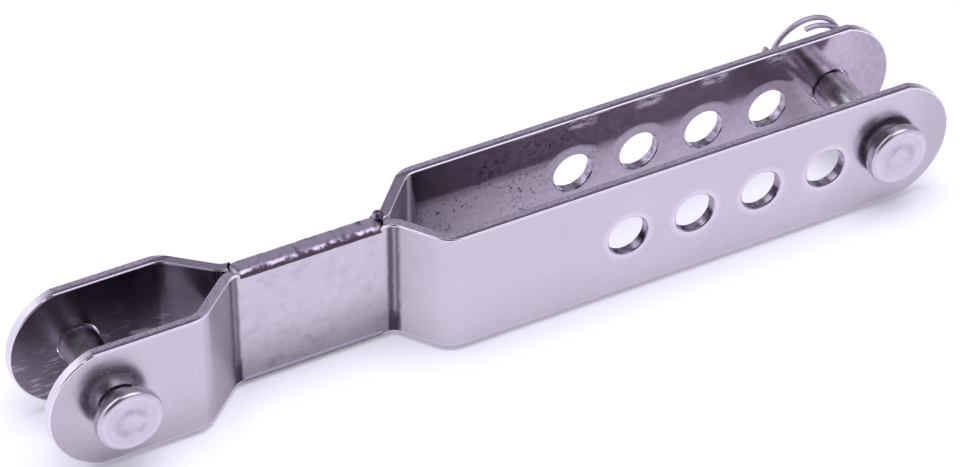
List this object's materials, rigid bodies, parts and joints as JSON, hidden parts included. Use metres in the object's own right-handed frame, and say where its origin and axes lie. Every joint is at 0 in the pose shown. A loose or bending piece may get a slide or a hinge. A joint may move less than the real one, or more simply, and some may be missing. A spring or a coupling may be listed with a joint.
{
  "type": "shroud adjuster",
  "caption": "Stainless rigging adjuster: bent strips welded back to back into a short and a long fork, with a row of pin holes, clevis pins and split rings.",
  "frame": {"origin": "on the axis of the short fork's pin, midway between its two cheeks", "axes": "+X from the short fork to the long fork, +Y across the cheeks from the pin heads to the split rings, +Z across the width of the strip, up as the adjuster lies in the picture"},
  "size_m": [0.1552, 0.0277, 0.0246],
  "materials": {
    "polished_strip": "tumbled and polished",
    "weld_metal": "weld bead, polished over",
    "turned_pin": "turned, bright",
    "ring_wire": "drawn spring wire"
  },
  "bodies": {
    "frame": {"head_side_plate": "polished_strip", "ring_side_plate": "polished_strip", "top_weld": "weld_metal", "bottom_weld": "weld_metal"},
    "short_pin": {"short_fork_pin": "turned_pin"},
    "long_pin": {"long_fork_pin": "turned_pin"},
    "short_ring": {"short_fork_ring": "ring_wire"},
    "long_ring": {"long_fork_ring": "ring_wire"}
  },
  "joints": [
    {"name": "short_pin_turn", "type": "hinge", "parent": "frame", "child": "short_pin", "pos_m": [0, 0, 0], "axis": [0, 1, 0], "continuous": true},
    {"name": "long_pin_turn", "type": "hinge", "parent": "frame", "child": "long_pin", "pos_m": [0.133, 0, 0], "axis": [0, 1, 0], "continuous": true},
    {"name": "short_ring_swing", "type": "hinge", "parent": "short_pin", "child": "short_ring", "pos_m": [0, 0.01104, 0], "axis": [-0.515, 0, -0.8572], "range_deg": [-180, 0]},
    {"name": "long_ring_swing", "type": "hinge", "parent": "long_pin", "child": "long_ring", "pos_m": [0.133, 0.01134, 0], "axis": [0.866, 0, 0.5], "range_deg": [-180, 0]}
  ]
}
